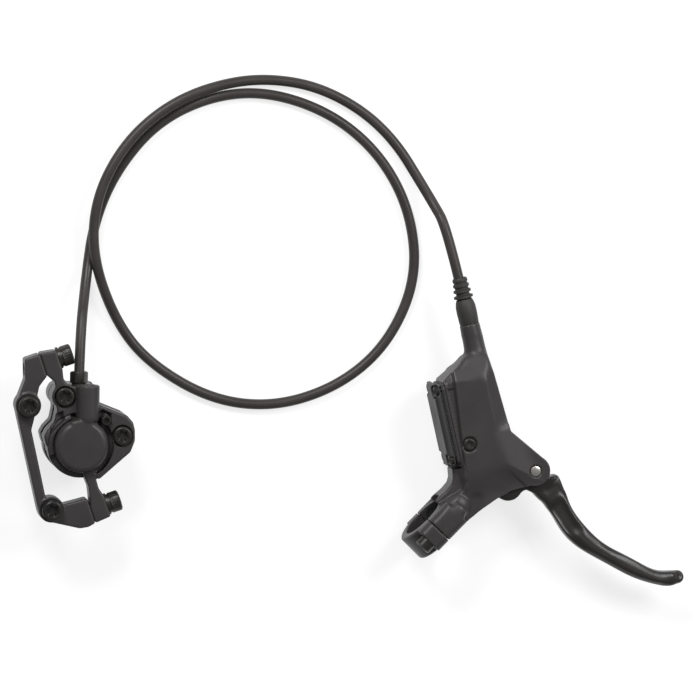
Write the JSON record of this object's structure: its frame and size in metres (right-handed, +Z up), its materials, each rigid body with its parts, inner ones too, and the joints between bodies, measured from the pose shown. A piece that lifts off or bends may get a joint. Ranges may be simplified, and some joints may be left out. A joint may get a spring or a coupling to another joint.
{
  "type": "hydraulic disc brake",
  "caption": "Bicycle hydraulic disc brake laid flat: post mount caliper on an adapter, loose hose loop, and a brake lever with side reservoir and split bar clamp.",
  "frame": {"origin": "middle of the underside of the caliper and lever as they lie, without the hose", "axes": "+Z up from the surface and along the piston axes, +X from the caliper to the lever"},
  "size_m": [0.3316, 0.2482, 0.0395],
  "materials": {
    "anodised_black": "satin black anodised or painted alloy",
    "blade_black": "satin black, smoother than the body",
    "black_fasteners": "black oxide steel",
    "bright_steel": "ground steel",
    "cap_plastic": "moulded, fine matt grain",
    "rubber": "soft black rubber",
    "hose_sheath": "extruded nylon sheath, satin",
    "brass": "plain brass",
    "phenolic": "moulded phenolic",
    "plunger_alloy": "turned",
    "bush_polymer": "acetal",
    "friction_lining": "resin friction material"
  },
  "bodies": {
    "root": {"adapter_bolts": "black_fasteners", "adapter_washers": "black_fasteners", "bleed_plug": "black_fasteners", "bleed_screw": "black_fasteners", "brake_hose": "hose_sheath", "caliper_body_bolts": "black_fasteners", "caliper_hose_nut": "black_fasteners", "caliper_inner_half": "anodised_black", "caliper_olive": "brass", "caliper_outer_half": "anodised_black", "caliper_piston_seals": "rubber", "clamp_bolts": "black_fasteners", "clamp_cap": "anodised_black", "crossover_o_ring": "rubber", "hose_boot": "rubber", "lever_body": "anodised_black", "lever_hose_nut": "bright_steel", "lever_olive": "brass", "lever_pivot_pin": "bright_steel", "mount_adapter": "anodised_black", "pad_pin": "black_fasteners", "pad_spring": "bright_steel", "piston_circlip": "bright_steel", "post_mount_bolts": "black_fasteners", "post_mount_washers": "black_fasteners", "reservoir_cap": "cap_plastic", "reservoir_diaphragm": "rubber", "reservoir_screws": "black_fasteners", "return_spring": "bright_steel"},
    "blade": {"lever_blade": "blade_black", "pivot_bush": "bush_polymer"},
    "pushrod": {"push_barrel": "black_fasteners", "reach_screw": "black_fasteners"},
    "plunger": {"master_piston": "plunger_alloy", "master_primary_seal": "rubber", "master_secondary_seal": "rubber"},
    "outer_pad": {"outer_piston": "phenolic", "outer_pad_plate": "bright_steel", "outer_pad_lining": "friction_lining"},
    "inner_pad": {"inner_piston": "phenolic", "inner_pad_plate": "bright_steel", "inner_pad_lining": "friction_lining"}
  },
  "joints": [
    {"name": "lever_pull", "type": "hinge", "parent": "root", "child": "blade", "pos_m": [0.08887, -0.01821, 0.0195], "axis": [0, 0, -1], "range_deg": [0, 25], "stiffness_Nm_per_rad": 0.35, "springref_deg": -20.05},
    {"name": "pushrod_swivel", "type": "hinge", "parent": "blade", "child": "pushrod", "pos_m": [0.07515, -0.02488, 0.0195], "axis": [0, 0, 1], "range_deg": [0, 25]},
    {"name": "plunger_slide", "type": "slide", "parent": "root", "child": "plunger", "axis": [-0.2326, 0.9726, 0], "range_m": [0, 0.00661]},
    {"name": "outer_pad_slide", "type": "slide", "parent": "root", "child": "outer_pad", "axis": [0, 0, -1], "range_m": [0, 0.0004]},
    {"name": "inner_pad_slide", "type": "slide", "parent": "root", "child": "inner_pad", "axis": [0, 0, 1], "range_m": [0, 0.0004]}
  ],
  "couplings": [
    {"joint": "pushrod_swivel", "follows": "lever_pull", "ratio": 1},
    {"joint": "plunger_slide", "follows": "lever_pull", "m_per_rad": 0.01514},
    {"joint": "outer_pad_slide", "follows": "lever_pull", "m_per_rad": 0.00091673},
    {"joint": "inner_pad_slide", "follows": "lever_pull", "m_per_rad": 0.00091673}
  ]
}
